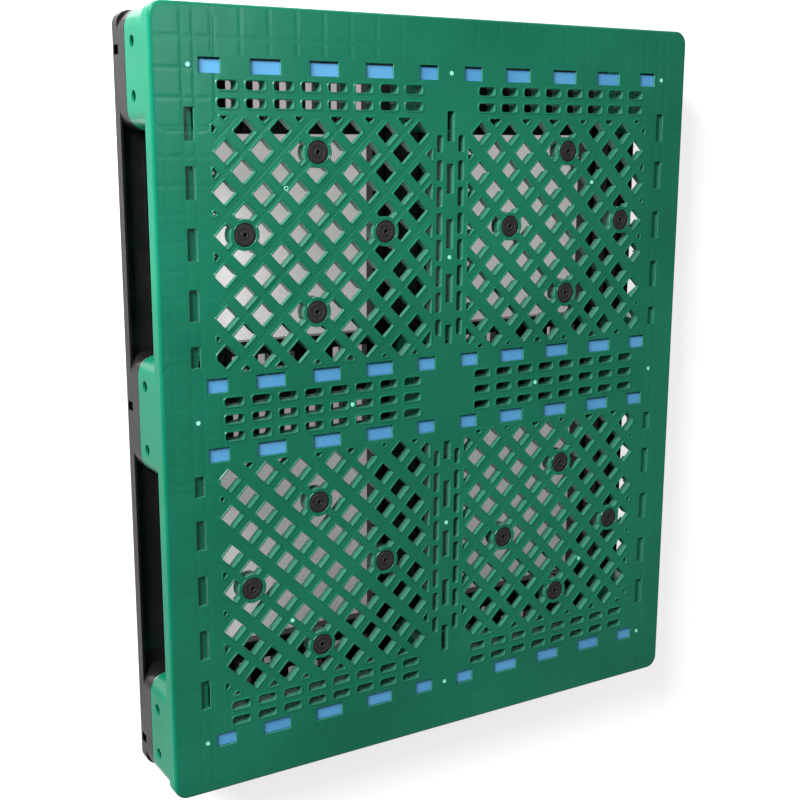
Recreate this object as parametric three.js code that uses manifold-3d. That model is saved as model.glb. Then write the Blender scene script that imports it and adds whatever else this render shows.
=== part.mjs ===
// Plastic pallet, 1200 x 1000 mm: a green top deck with nine upper half-blocks, a black bottom
// deck with nine lower ones, welded together at mid block, four steel tubes in the top deck and
// sixteen rubber plugs that keep the load from sliding.
// Millimetres, +Z up. The pallet lies centred on the origin and stands on z = 0.
import * as THREE from 'three';
import { mergeGeometries, mergeVertices } from 'three/addons/utils/BufferGeometryUtils.js';
import Module from 'manifold-3d';

const wasm = await Module();
wasm.setup();

// ---- Driving dimensions
const PALLET_X = 1000;
const PALLET_Y = 1200;
const DECK_TOP = 150;
const DECK_THICKNESS = 25;
const DECK_CORNER = 22;
const SEAM_HEIGHT = 53; // where the two mouldings are welded
const GAP = 0.3; // clearance between touching pieces
const OVERLAP = 1; // how far a joined solid reaches into its neighbour
const SIDES = [-1, 1];

// Blocks, hollow, the upper half green and the lower half black
const BLOCK_INSET = { x: 0.5, y: 4 }; // from the deck's edge
const BLOCK_CORNER = 30;
const BLOCK_WALL = 4;
const SIDE_BLOCK_X = 96;
const MIDDLE_BLOCK_X = 88;
const END_BLOCK_Y = 172;
const MIDDLE_BLOCK_Y = 182;
const HAND_HOLE_RADIUS = 8.5; // round holes in the outer block faces
const HAND_HOLE_HEIGHT = 82;
const HAND_HOLE_SPREAD = { middle: 49, end: 38 };

// Top deck, open slots
const SLOT = { x: 31, y: 13, pitch: 45.1, perHalf: 8, centre: 227.3 };
const SLOT_ROWS = [-488.5, -463, -26.5, 0, 26.5, 463, 488.5];
const SPINE_SLOTS = [
  { y: 98.5, length: 31.5 },
  { y: 174.5, length: 46.5 },
  { y: 263, length: 47 },
  { y: 351, length: 47 },
  { y: 433.5, length: 46.5 },
];
const SPINE_SLOT_WIDTH = 13;
const EDGE_POCKET = { x: 444.5, width: 15, depth: 14 };
const SMALL_SLOT = { x: 20.5, width: 11, length: 33, firstY: 110.5, pitch: 42.2, count: 8 };

// Top deck, diagonal lattice: one field in each quarter, mirrored about both centre lines
const FIELD = { minX: 34.6, maxX: 410.7, minY: 71.4, maxY: 445.4, chamfer: 14 };
const LATTICE_CENTRE = new THREE.Vector2(241.3, 272.8);
const LATTICE_ANGLE = THREE.MathUtils.degToRad(44.2);
const LATTICE_PITCH = 42.65; // along the main strips; their pairs repeat at twice this
const LATTICE_HOLE = 26;
const LATTICE_PAIR = 39; // between the two rows of holes beside a narrow strip
const LATTICE_REACH = { pairs: 4, steps: 8 }; // enough rows and holes to cover the field
const SMALLEST_HOLE_AREA = 250; // the corners that the field's edge would leave are closed

// Steel tubes in channels under the deck's skin, seen through windows
const TUBE = { length: 900, width: 25, height: 20, wall: 1.5 };
const TUBE_DEPTH = 4.5; // its top face below the load face
const TUBE_ROWS = [-515, -53, 53, 515];
const WINDOW_Y = 22;
const WINDOWS = [
  { x: 42.3, width: 34 },
  { x: 131.5, width: 49 },
  { x: 227.5, width: 49 },
  { x: 323.5, width: 49 },
  { x: 411.7, width: 34 },
];
const LUG = { length: 16, reach: 3, root: 5, height: 3, stations: [-350, 0, 350] };

// Rubber plugs in bosses at crossings of the lattice
const BOSS_RADIUS = 23.5;
const BORE_RADIUS = 9.3;
const PLUG = { headRadius: 17.5, headTop: 151, seat: 4, stemRadius: 8.3, barbRadius: 10.5, barb: 6 };

// Segments round a plug, round a boss or a bore, and in a quarter turn of a corner
const PLUG_SEGMENTS = 12;
const ROUND_SEGMENTS = 8;
const BLOCK_CORNER_SEGMENTS = 3;
const DECK_CORNER_SEGMENTS = 4;
const WINDOW_CORNER_SEGMENTS = 2;

// Bottom deck
const BASE_THICKNESS = 22;
const BASE_CORNER = 20;
const BASE_WINDOW = { minX: 70, maxX: 385, minY: 93, maxY: 420, corner: 12 };
const BASE_SLOT = { x: 20, y: 44, pitch: 46, perHalf: 7, centre: 227.5 };
const BASE_SLOT_ROWS = [-480, -46, 46, 480];
const NOTCH = { width: 14, bottom: 7, height: 18, depth: 5, rows: [-548, 8, 540] };

// ---- Materials
const material = (name, color, roughness, metalness) =>
  new THREE.MeshStandardMaterial({ name, color, roughness, metalness });
const GREEN = material('green_plastic', 0x1e7a60, 0.42, 0);
const BLACK = material('black_plastic', 0x24221f, 0.45, 0);
const RUBBER = material('black_rubber', 0x3a3633, 0.8, 0);
const BLUE = material('blue_steel', 0x64a5e1, 0.4, 0.2);

// ---- Shapes and solids
function roundedRectangle(centreX, centreY, sizeX, sizeY, radius, segments) {
  const points = [];
  for (let corner = 0; corner < 4; corner += 1) {
    const signX = corner === 0 || corner === 3 ? 1 : -1;
    const signY = corner < 2 ? 1 : -1;
    for (let step = 0; step <= segments; step += 1) {
      const angle = (Math.PI / 2) * (corner + step / segments);
      points.push(new THREE.Vector2(
        centreX + signX * (sizeX / 2 - radius) + radius * Math.cos(angle),
        centreY + signY * (sizeY / 2 - radius) + radius * Math.sin(angle),
      ));
    }
  }
  return points;
}

function rectangle(centreX, centreY, sizeX, sizeY) {
  return [[-1, -1], [1, -1], [1, 1], [-1, 1]].map(
    ([signX, signY]) => new THREE.Vector2(centreX + signX * sizeX / 2, centreY + signY * sizeY / 2),
  );
}

function toSolid(geometry) {
  geometry.deleteAttribute('normal');
  geometry.deleteAttribute('uv');
  const merged = mergeVertices(geometry);
  return new wasm.Manifold(new wasm.Mesh({
    numProp: 3,
    vertProperties: merged.attributes.position.array,
    triVerts: new Uint32Array(merged.index.array),
  }));
}

function toGeometry(solid) {
  const mesh = solid.getMesh();
  const geometry = new THREE.BufferGeometry();
  geometry.setAttribute('position', new THREE.BufferAttribute(mesh.vertProperties, 3));
  geometry.setIndex(new THREE.BufferAttribute(mesh.triVerts, 1));
  geometry.computeVertexNormals();
  return geometry;
}

function extruded(outline, holes, bottom, top) {
  const shape = new THREE.Shape(outline);
  shape.holes = holes.map((points) => new THREE.Path(points));
  const geometry = new THREE.ExtrudeGeometry(shape, { depth: top - bottom, bevelEnabled: false });
  return geometry.translate(0, 0, bottom);
}

const prism = (outline, holes, bottom, top) => toSolid(extruded(outline, holes, bottom, top));

// A plate with every hole cut through it at once.
function piercedPlate(outline, holes, bottom, top) {
  const cutters = holes.map((points) => extruded(points, [], bottom - OVERLAP, top + OVERLAP));
  return prism(outline, [], bottom, top).subtract(toSolid(mergeGeometries(cutters)));
}

function block3d(minX, maxX, minY, maxY, minZ, maxZ) {
  const geometry = new THREE.BoxGeometry(maxX - minX, maxY - minY, maxZ - minZ);
  return toSolid(geometry.translate((minX + maxX) / 2, (minY + maxY) / 2, (minZ + maxZ) / 2));
}

function disc(x, y, radius, bottom, top, segments) {
  const geometry = new THREE.CylinderGeometry(radius, radius, top - bottom, segments);
  return toSolid(geometry.rotateX(Math.PI / 2).translate(x, y, (bottom + top) / 2));
}

// ---- Where the blocks stand
const COLUMN_NAMES = ['left', 'centre', 'right'];
const ROW_NAMES = ['front', 'middle', 'back'];

function blockPlaces() {
  const places = [];
  for (const column of [-1, 0, 1]) {
    for (const row of [-1, 0, 1]) {
      const sizeX = column === 0 ? MIDDLE_BLOCK_X : SIDE_BLOCK_X;
      const sizeY = row === 0 ? MIDDLE_BLOCK_Y : END_BLOCK_Y;
      const x = column * (PALLET_X / 2 - BLOCK_INSET.x - sizeX / 2);
      const y = row * (PALLET_Y / 2 - BLOCK_INSET.y - sizeY / 2);
      places.push({ column, row, x, y, sizeX, sizeY });
    }
  }
  return places;
}

function blockWalls(place, bottom, top) {
  const outer = roundedRectangle(
    place.x, place.y, place.sizeX, place.sizeY, BLOCK_CORNER, BLOCK_CORNER_SEGMENTS,
  );
  const inner = roundedRectangle(
    place.x, place.y, place.sizeX - 2 * BLOCK_WALL, place.sizeY - 2 * BLOCK_WALL,
    BLOCK_CORNER - BLOCK_WALL, BLOCK_CORNER_SEGMENTS,
  );
  return prism(outer, [inner], bottom, top);
}

// ---- The lattice
// Along the main strips and across them, in the quarter where x and y are positive.
const ALONG = new THREE.Vector2(Math.cos(LATTICE_ANGLE), -Math.sin(LATTICE_ANGLE));
const ACROSS = new THREE.Vector2(Math.sin(LATTICE_ANGLE), Math.cos(LATTICE_ANGLE));

const latticePoint = (across, along) =>
  LATTICE_CENTRE.clone().addScaledVector(ACROSS, across).addScaledVector(ALONG, along);

// The field's eight edges as half-planes: inside where normal . point <= limit.
function fieldEdges() {
  const { minX, maxX, minY, maxY, chamfer } = FIELD;
  const edges = [];
  for (const signX of SIDES) {
    edges.push({ normal: new THREE.Vector2(signX, 0), limit: signX > 0 ? maxX : -minX });
    edges.push({ normal: new THREE.Vector2(0, signX), limit: signX > 0 ? maxY : -minY });
    for (const signY of SIDES) {
      const corner = new THREE.Vector2(signX > 0 ? maxX : minX, signY > 0 ? maxY : minY);
      const normal = new THREE.Vector2(signX, signY);
      edges.push({ normal, limit: normal.dot(corner) - chamfer });
    }
  }
  return edges;
}

function clipped(polygon, edge) {
  const kept = [];
  polygon.forEach((point, index) => {
    const next = polygon[(index + 1) % polygon.length];
    const here = edge.normal.dot(point) - edge.limit;
    const there = edge.normal.dot(next) - edge.limit;
    if (here <= 0) kept.push(point);
    if (here * there < 0) kept.push(point.clone().lerp(next, here / (here - there)));
  });
  return kept;
}

function latticeHoles() {
  const holes = [];
  const edges = fieldEdges();
  const half = LATTICE_HOLE / 2;
  const corners = [[-1, -1], [-1, 1], [1, 1], [1, -1]];
  for (let pair = -LATTICE_REACH.pairs; pair <= LATTICE_REACH.pairs; pair += 1) {
    for (const side of SIDES) {
      for (let step = -LATTICE_REACH.steps; step < LATTICE_REACH.steps; step += 1) {
        const across = pair * 2 * LATTICE_PITCH + side * LATTICE_PAIR / 2;
        const along = (step + 0.5) * LATTICE_PITCH;
        const square = corners.map(([a, b]) => latticePoint(across + a * half, along + b * half));
        const hole = edges.reduce(clipped, square);
        if (hole.length > 2 && Math.abs(THREE.ShapeUtils.area(hole)) > SMALLEST_HOLE_AREA) {
          holes.push(hole);
        }
      }
    }
  }
  return holes;
}

function mirroredFour(points) {
  return SIDES.flatMap((signX) => SIDES.map(
    (signY) => points.map((point) => new THREE.Vector2(signX * point.x, signY * point.y)),
  ));
}

function plugPlaces() {
  const reach = 2 * LATTICE_PITCH;
  const quarter = SIDES.flatMap((a) => SIDES.map((b) => latticePoint(a * reach, b * reach)));
  return mirroredFour(quarter).flat();
}

// ---- Top deck
function topDeckHoles() {
  const holes = latticeHoles().flatMap(mirroredFour);
  for (let index = 0; index < SMALL_SLOT.count; index += 1) {
    const y = SMALL_SLOT.firstY + index * SMALL_SLOT.pitch;
    holes.push(...mirroredFour(rectangle(SMALL_SLOT.x, y, SMALL_SLOT.width, SMALL_SLOT.length)));
  }
  for (const side of SIDES) {
    for (const y of SLOT_ROWS) {
      for (let index = 0; index < SLOT.perHalf; index += 1) {
        const x = SLOT.centre + (index - (SLOT.perHalf - 1) / 2) * SLOT.pitch;
        holes.push(rectangle(side * x, y, SLOT.x, SLOT.y));
      }
    }
    for (const slot of SPINE_SLOTS) {
      holes.push(rectangle(0, side * slot.y, SPINE_SLOT_WIDTH, slot.length));
    }
    for (const window of WINDOWS) {
      for (const y of TUBE_ROWS) {
        holes.push(rectangle(side * window.x, y, window.width, WINDOW_Y));
      }
    }
  }
  return holes;
}

function tubeChannel(y) {
  const halfLength = TUBE.length / 2 + GAP;
  const halfWidth = TUBE.width / 2 + GAP;
  const bottom = DECK_TOP - DECK_THICKNESS - OVERLAP;
  return block3d(
    -halfLength, halfLength, y - halfWidth, y + halfWidth, bottom, DECK_TOP - TUBE_DEPTH + GAP,
  );
}

// Small moulded hooks that hold a tube up in its channel.
function tubeLugs(y) {
  const top = DECK_TOP - TUBE_DEPTH - TUBE.height - GAP;
  const bottom = DECK_TOP - DECK_THICKNESS - LUG.height;
  const wall = TUBE.width / 2 + GAP;
  return LUG.stations.flatMap((x) => SIDES.map((side) => {
    const edges = [side * (wall - LUG.reach), side * (wall + LUG.root)];
    return block3d(
      x - LUG.length / 2, x + LUG.length / 2, Math.min(...edges), Math.max(...edges), bottom, top,
    );
  }));
}

function edgePockets() {
  return SIDES.flatMap((signX) => SIDES.flatMap((signY) => SPINE_SLOTS.map((slot) => block3d(
    signX * EDGE_POCKET.x - EDGE_POCKET.width / 2,
    signX * EDGE_POCKET.x + EDGE_POCKET.width / 2,
    signY * slot.y - slot.length / 2,
    signY * slot.y + slot.length / 2,
    DECK_TOP - EDGE_POCKET.depth,
    DECK_TOP + OVERLAP,
  ))));
}

function topDeck() {
  const underside = DECK_TOP - DECK_THICKNESS;
  const outline = roundedRectangle(0, 0, PALLET_X, PALLET_Y, DECK_CORNER, DECK_CORNER_SEGMENTS);
  const seatBottom = DECK_TOP - PLUG.seat;
  const seatRadius = PLUG.headRadius + GAP;
  let deck = piercedPlate(outline, topDeckHoles(), underside, DECK_TOP);
  for (const { x, y } of plugPlaces()) {
    deck = deck
      .add(disc(x, y, BOSS_RADIUS, underside, DECK_TOP, ROUND_SEGMENTS))
      .subtract(disc(x, y, seatRadius, seatBottom, DECK_TOP + OVERLAP, PLUG_SEGMENTS))
      .subtract(disc(x, y, BORE_RADIUS, underside - OVERLAP, DECK_TOP, ROUND_SEGMENTS));
  }
  for (const solid of [...TUBE_ROWS.map(tubeChannel), ...edgePockets()]) {
    deck = deck.subtract(solid);
  }
  for (const lug of TUBE_ROWS.flatMap(tubeLugs)) deck = deck.add(lug);
  return toGeometry(deck);
}

// ---- Upper half-blocks
function handHole(place, side) {
  const spread = place.row === 0 ? HAND_HOLE_SPREAD.middle : HAND_HOLE_SPREAD.end;
  const wallMiddle = place.column * (PALLET_X / 2 - BLOCK_INSET.x - BLOCK_WALL / 2);
  const geometry = new THREE.CylinderGeometry(
    HAND_HOLE_RADIUS, HAND_HOLE_RADIUS, 3 * BLOCK_WALL, ROUND_SEGMENTS,
  );
  geometry.rotateZ(Math.PI / 2).translate(wallMiddle, place.y + side * spread, HAND_HOLE_HEIGHT);
  return toSolid(geometry);
}

function upperBlock(place) {
  let walls = blockWalls(place, SEAM_HEIGHT + GAP / 2, DECK_TOP - DECK_THICKNESS - GAP);
  if (place.column !== 0) {
    for (const side of SIDES) walls = walls.subtract(handHole(place, side));
  }
  return toGeometry(walls);
}

// ---- Bottom deck
function bottomDeckHoles() {
  const { minX, maxX, minY, maxY, corner } = BASE_WINDOW;
  const window = roundedRectangle(
    (minX + maxX) / 2, (minY + maxY) / 2, maxX - minX, maxY - minY, corner,
    WINDOW_CORNER_SEGMENTS,
  );
  const holes = mirroredFour(window);
  for (const side of SIDES) {
    for (const y of BASE_SLOT_ROWS) {
      for (let index = 0; index < BASE_SLOT.perHalf; index += 1) {
        const x = BASE_SLOT.centre + (index - (BASE_SLOT.perHalf - 1) / 2) * BASE_SLOT.pitch;
        holes.push(rectangle(side * x, y, BASE_SLOT.x, BASE_SLOT.y));
      }
    }
  }
  return holes;
}

function sideNotches() {
  const face = PALLET_X / 2 - BLOCK_INSET.x;
  return SIDES.flatMap((side) => NOTCH.rows.map((y) => {
    const edges = [side * (face - NOTCH.depth), side * (face + OVERLAP)];
    return block3d(
      Math.min(...edges), Math.max(...edges), y - NOTCH.width / 2, y + NOTCH.width / 2,
      NOTCH.bottom, NOTCH.bottom + NOTCH.height,
    );
  }));
}

function bottomDeck() {
  const outline = roundedRectangle(
    0, 0, PALLET_X - 2 * BLOCK_INSET.x, PALLET_Y - 2 * BLOCK_INSET.y, BASE_CORNER,
    DECK_CORNER_SEGMENTS,
  );
  let deck = piercedPlate(outline, bottomDeckHoles(), 0, BASE_THICKNESS);
  for (const place of blockPlaces()) {
    deck = deck.add(blockWalls(place, BASE_THICKNESS - OVERLAP, SEAM_HEIGHT - GAP / 2));
  }
  for (const notch of sideNotches()) deck = deck.subtract(notch);
  return toGeometry(deck);
}

// ---- Tubes and plugs
function tubeGeometry() {
  const inner = rectangle(0, 0, TUBE.width - 2 * TUBE.wall, TUBE.height - 2 * TUBE.wall);
  const section = rectangle(0, 0, TUBE.width, TUBE.height);
  return extruded(section, [inner], -TUBE.length / 2, TUBE.length / 2)
    .rotateZ(Math.PI / 2)
    .rotateY(Math.PI / 2);
}

function plugGeometry() {
  const seat = DECK_TOP - PLUG.seat + GAP;
  const barbTop = DECK_TOP - DECK_THICKNESS - GAP;
  const profile = [
    [0, barbTop - PLUG.barb],
    [PLUG.stemRadius, barbTop - PLUG.barb],
    [PLUG.barbRadius, barbTop],
    [PLUG.stemRadius, barbTop],
    [PLUG.stemRadius, seat],
    [PLUG.headRadius, seat],
    [PLUG.headRadius, PLUG.headTop],
    [0, PLUG.headTop],
  ];
  const points = profile.map(([radius, height]) => new THREE.Vector2(radius, height));
  return new THREE.LatheGeometry(points, PLUG_SEGMENTS).rotateX(Math.PI / 2);
}

// ---- The assembly
function addMesh(group, name, geometry, surface) {
  const mesh = new THREE.Mesh(geometry, surface);
  mesh.name = name;
  group.add(mesh);
  return mesh;
}

const pallet = new THREE.Group();
addMesh(pallet, 'top_deck', topDeck(), GREEN);
addMesh(pallet, 'bottom_deck', bottomDeck(), BLACK);

for (const place of blockPlaces()) {
  const name = `upper_block_${ROW_NAMES[place.row + 1]}_${COLUMN_NAMES[place.column + 1]}`;
  addMesh(pallet, name, upperBlock(place), GREEN);
}

const tube = tubeGeometry();
TUBE_ROWS.forEach((y, index) => {
  const mesh = addMesh(pallet, `reinforcing_tube_${index + 1}`, tube, BLUE);
  mesh.position.set(0, y, DECK_TOP - TUBE_DEPTH - TUBE.height / 2);
});

const plug = plugGeometry();
plugPlaces().forEach((point, index) => {
  const mesh = addMesh(pallet, `anti_slip_plug_${String(index + 1).padStart(2, '0')}`, plug, RUBBER);
  mesh.position.set(point.x, point.y, 0);
});

export default pallet;
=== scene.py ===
"""Visual model of a plastic pallet: green top deck, black bottom deck, steel tubes, rubber plugs.

The layout is in millimetres in the CAD's frame, and MM turns it into metres as meshes are made.
Materials and the studio are in metres.
"""

import math

import bmesh
import bpy
import numpy as np
from mathutils import Matrix, Vector, geometry


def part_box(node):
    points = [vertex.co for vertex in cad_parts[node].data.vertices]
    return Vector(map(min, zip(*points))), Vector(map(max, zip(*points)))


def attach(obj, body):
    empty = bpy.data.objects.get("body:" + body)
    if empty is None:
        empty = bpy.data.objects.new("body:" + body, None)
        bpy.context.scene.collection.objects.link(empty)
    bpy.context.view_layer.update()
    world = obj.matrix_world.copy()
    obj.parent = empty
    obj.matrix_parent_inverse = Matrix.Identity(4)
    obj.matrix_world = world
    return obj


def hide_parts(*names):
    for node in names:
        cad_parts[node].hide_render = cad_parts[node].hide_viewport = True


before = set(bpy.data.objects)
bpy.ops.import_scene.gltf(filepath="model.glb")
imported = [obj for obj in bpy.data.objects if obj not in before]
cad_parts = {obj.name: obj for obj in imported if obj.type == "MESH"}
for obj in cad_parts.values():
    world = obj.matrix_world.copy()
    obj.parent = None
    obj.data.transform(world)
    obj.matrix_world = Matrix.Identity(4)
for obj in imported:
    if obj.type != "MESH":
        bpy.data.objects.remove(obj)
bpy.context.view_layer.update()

MM = 0.001
SIDES = (-1, 1)
SHARP_EDGE = math.radians(32)
OVERLAP = 1  # how far a rib or a wall runs into what it meets

# ---- Heights and outline, from the frame
DECK_LOW, DECK_HIGH = (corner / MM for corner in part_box("top_deck"))
BASE_LOW, BASE_HIGH = (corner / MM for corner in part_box("bottom_deck"))
BLOCK_LOW, BLOCK_HIGH = (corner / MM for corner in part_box("upper_block_back_left"))
DECK_TOP = DECK_HIGH.z
DECK_OVER_BLOCK = 0.3
DECK_BOTTOM = BLOCK_HIGH.z + DECK_OVER_BLOCK
DECK_SIZE = DECK_HIGH - DECK_LOW
BASE_SIZE = BASE_HIGH - BASE_LOW
SEAM_BOTTOM = BASE_HIGH.z
SEAM_TOP = BLOCK_LOW.z

# ---- Top deck
DECK_CORNER = 22
SKIN = 3.5
LIP_WALL = 3.5
COLLAR_WALL = 2.2
COLLAR_BOTTOM = DECK_TOP - 22
RIB_WALL = 2.4
RIB_BOTTOM = DECK_TOP - 21
EDGE_ROUND = 5.0
RIM_ROUND = 0.8
RIM_WIDTH, RIM_SLOPE, RIM_HEIGHT = 3.0, 0.9, 0.7
SEAT_RIM_WIDTH = 2.3
ROUND_STEPS, RIM_STEPS, CORNER_STEPS, SLOT_STEPS = 3, 2, 8, 4

SLOT_X, SLOT_Y, SLOT_CORNER, SLOT_PITCH, SLOT_CENTRE = 31, 13, 4.5, 45.1, 227.3
SLOT_ROWS = (-488.5, -463, -26.5, 0, 26.5, 463, 488.5)
SLOTS_PER_HALF = 8
SPINE_SLOTS = ((98.5, 31.5), (174.5, 46.5), (263, 47), (351, 47), (433.5, 46.5))
SPINE_WIDTH, SPINE_CORNER = 13, 1.5
POCKET_X, POCKET_WIDTH, POCKET_CORNER = 444.5, 15, 1.2
POCKET_DEPTH, POCKET_GAP, POCKET_WALL = 8, 0.8, 2
SMALL_SLOT_X, SMALL_SLOT_WIDTH, SMALL_SLOT_CORNER = 20.5, 11, 4.5
SMALL_SLOTS = ((110.5, 27), (152, 33), (194.5, 34), (237, 34), (279.5, 34), (322, 32), (364, 32),
               (406, 27))
TUBE_ROWS = (-515, -53, 53, 515)
WINDOWS = ((42.3, 34), (131.5, 49), (227.5, 49), (323.5, 49), (411.7, 34))
WINDOW_Y, WINDOW_CORNER, WINDOW_ROUND = 22, 1, 0.5

# ---- Lattice, in the quarter where x and y are positive
FIELD_X, FIELD_Y, FIELD_CHAMFER = (34.6, 410.7), (71.4, 445.4), 14
LATTICE_CENTRE = Vector((241.3, 272.8))
LATTICE_ANGLE = math.radians(44.2)
LATTICE_PITCH = 42.65
LATTICE_HOLE = 26
LATTICE_PAIR = 39
LATTICE_PAIRS, LATTICE_STEPS, LATTICE_LINES = range(-4, 5), range(-8, 8), range(-6, 7)
HOLE_CORNER = 1.6
DEEP_WALL, SHALLOW_WALL, BOSS_WALL = 15.5, 7, 21
SMALLEST_HOLE_AREA = 28
ALONG = Vector((math.cos(LATTICE_ANGLE), -math.sin(LATTICE_ANGLE)))
ACROSS = Vector((math.sin(LATTICE_ANGLE), math.cos(LATTICE_ANGLE)))

# ---- Plugs and their bosses
BOSS_RADIUS = 23.5
SEAT_RADIUS, SEAT_DEPTH, SEAT_POINTS = 17.9, 4, 40
BORE_RADIUS, BORE_WALL = 9.3, 3.7
PLUG_PLAY, STEM_PLAY, BARB_REACH = 0.2, 0.4, 1.2

# ---- Blocks
BLOCK_WALL, BLOCK_WALL_IN_DECK = 4, 3.8
BLOCK_CORNER = 30
SEAM_ROUND = 0.7
HAND_HOLE_RADIUS, HAND_HOLE_FLARE = 8.5, 0.8
HAND_HOLE_HEIGHT = 82
HAND_HOLE_SPREAD = {"middle": 49, "end": 38}

# ---- Bottom deck
BASE_CORNER, BASE_EDGE_ROUND = 20, 2
BASE_THICKNESS = 22
BASE_SKIN = 3.5
HALF_BLOCK_FOOT = 0.6
BASE_WINDOW_X, BASE_WINDOW_Y = (70, 385), (93, 420)
BASE_WINDOW_CORNER, BASE_WINDOW_ROUND = 12, 1.5
BASE_SLOT_X, BASE_SLOT_Y, BASE_SLOT_PITCH, BASE_SLOT_CENTRE = 20, 20, 46, 227.5
BASE_SLOT_CORNER, BASE_COLLAR_WALL, BASE_COLLAR_DEPTH = 2.5, 2, 18
BASE_SLOT_ROWS = (-494, -466, -60, -32, 32, 60, 466, 494)
BASE_SLOTS_PER_HALF = 7
NOTCH_WIDTH, NOTCH_BOTTOM, NOTCH_HEIGHT, NOTCH_DEPTH, NOTCH_CORNER = 14, 7, 18, 5, 1.5
BASE_RIB_TOP = 9
NOTCH_ROWS = (-548, 8, 540)

# ---- Tubes: how much slimmer than the CAD's, which leaves a gap along one side of their windows
TUBE_PLAY = 3.5
TUBE_WALL = 1.5

# ---- Ribs under the deck's skin
LONG_RIBS = (30.3, 432, 456.5, 478)
END_RIBS = (550, 575)
SLOT_RIBS = (449.5, 475.7, 501.0)
SLOT_RIB_ENDS = (30, 433)
CHANNEL_HALF, CHANNEL_GAP = 14.2, 15
CHANNEL_ENDS = (5, 460)
CROSS_RIBS = ((446, 499.5), (0, 37))
OUTER_RIB_START = 530.5
POCKET_RIB_START, POCKET_RIB_OFFSET = 412, 41

# ---- Ribs in the base
BASE_END_RIBS = (440, 480, 520, 560)
BASE_MIDDLE_RIBS = (4, 46, 80)
BASE_LONG_RIBS = (35, 420, 460)
BASE_RIBS_BETWEEN_BLOCKS = 8

# ---- Sink marks on the load face: lines over ribs, and rounded outlines over the blocks
MARK_WIDTH, LATTICE_MARK_WIDTH, MARK_DEPTH = 6, 4, 0.0003
POCKET_LINES = (435, 453)
SIDE_LINE_START, SIDE_LINE_PITCH = 388, 40.5
EDGE_LINE, EDGE_LINE_END = 481, 424
END_LINE = 553
MARK_FADE = 4
PAST_TUBES = 14
BLOCK_MARK_X, BLOCK_MARK_ROUND = 451.5, 24
BLOCK_MARKS = ((510, 86), (0, 91))

# ---- Marks of the mould's gates, in the quarter where x and y are positive, and the open one
GATES = ((444, 515), (0, 515), (293.5, 341), (0, 225), (444, 0), (182, 0))
OPEN_GATE = (-293.5, 341)
GATE_RADIUS, GATE_HEIGHT, GATE_POINTS, OPEN_GATE_RADIUS = 3.4, 0.5, 16, 2.1

# ---- Where the plastics' look changes, in metres, as (from, to)
LONG_SIDE = (0.493, 0.497)
SHORT_SIDE = (0.593, 0.597)
DECK_SKIRT = (0.125, 0.127)

# ---- How far a face may turn up before it stops being a thin wall, and how strongly the painted reflection on those walls pales them
UPRIGHT = (0.2, 0.5)
PAINTED_WALL_LIGHT_SHARE = 0.18

# ---- Studio, in metres
CAMERA_PLACE = Vector((-1.1352, 0.4189, 1.8444))
CAMERA_TARGET = Vector((-0.0935, -0.0021, 0.15))
CAMERA_LENS = 56.27
CAMERA_ROLL = math.radians(0.23)
LIGHT_TARGET = Vector((0, 0, 0.1))
LIGHTS = (
    # name, place, size, power, colour
    ("window", (-3.2, 2.4, 2.1), (2.0, 1.5), 290, (1, 0.99, 0.97)),
    ("ceiling", (0.62, 0.95, 3.2), (0.6, 0.8), 6.5, (0.76, 0.94, 1)),
    ("corner", (-0.95, 0.85, 0.32), (0.3, 0.3), 5, (1, 1, 1)),
)
WORLD_LIGHT = 0.21
FLOOR_HALF, FLOOR_DROP = 15, 0.0005
FLOOR_GLOW = 0.8
# Glow under the deck: painted light where the pallet shades the floor, dimmer towards -y as painted
# shade.
UNDER_DECK_PAINTED_LIGHT_AND_SHADE = (0.2, 0.5)


# ======== Outlines, as arrays of points in millimetres, anticlockwise ========

LONGEST_MITRE = 1.5
LARGEST_ROUND = 0.45  # the share of a side that a rounded corner may take
PARALLEL = 1e-9


def offset_loop(loop, distance):
    """The loop moved outwards by distance, keeping its corners sharp unless they are very sharp."""
    before = loop - np.roll(loop, 1, axis=0)
    before /= np.linalg.norm(before, axis=1, keepdims=True)
    after = np.roll(before, -1, axis=0)
    normal_before = np.stack((before[:, 1], -before[:, 0]), axis=1)
    normal_after = np.stack((after[:, 1], -after[:, 0]), axis=1)
    mitre = normal_before + normal_after
    mitre /= 1 + np.sum(normal_before * normal_after, axis=1, keepdims=True)
    reach = np.linalg.norm(mitre, axis=1, keepdims=True)
    return loop + distance * mitre * np.minimum(1, LONGEST_MITRE / reach)


def rounded(corners, radius, steps=ROUND_STEPS):
    """A convex polygon with its corners rounded."""
    corners = np.asarray(corners, float)
    count = len(corners)
    points = []
    for index in range(count):
        here, before, after = corners[index], corners[index - 1], corners[(index + 1) % count]
        to_before, to_after = before - here, after - here
        length_before, length_after = np.linalg.norm(to_before), np.linalg.norm(to_after)
        to_before, to_after = to_before / length_before, to_after / length_after
        half = math.acos(np.clip(np.dot(to_before, to_after), -1, 1)) / 2
        longest = LARGEST_ROUND * min(length_before, length_after)
        reach = min(radius / math.tan(half), longest)
        middle = to_before + to_after
        centre = here + middle / np.linalg.norm(middle) * reach / math.cos(half)
        start, end = here + to_before * reach - centre, here + to_after * reach - centre
        turn = math.pi - 2 * half
        for step in range(steps + 1):
            share = step / steps
            weight_start = math.sin((1 - share) * turn) / math.sin(turn)
            weight_end = math.sin(share * turn) / math.sin(turn)
            points.append(centre + start * weight_start + end * weight_end)
    return np.array(points)


def rectangle(x, y, size_x, size_y):
    half_x, half_y = size_x / 2, size_y / 2
    return [(x - half_x, y - half_y), (x + half_x, y - half_y),
            (x + half_x, y + half_y), (x - half_x, y + half_y)]


def circle(x, y, radius, count):
    angles = np.arange(count) * 2 * math.pi / count
    return np.stack((x + radius * np.cos(angles), y + radius * np.sin(angles)), axis=1)


def mirrored(loop, sign_x, sign_y):
    """The loop in another quarter, still anticlockwise."""
    result = np.asarray(loop) * (sign_x, sign_y)
    return result[::-1] if sign_x * sign_y < 0 else result


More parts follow.
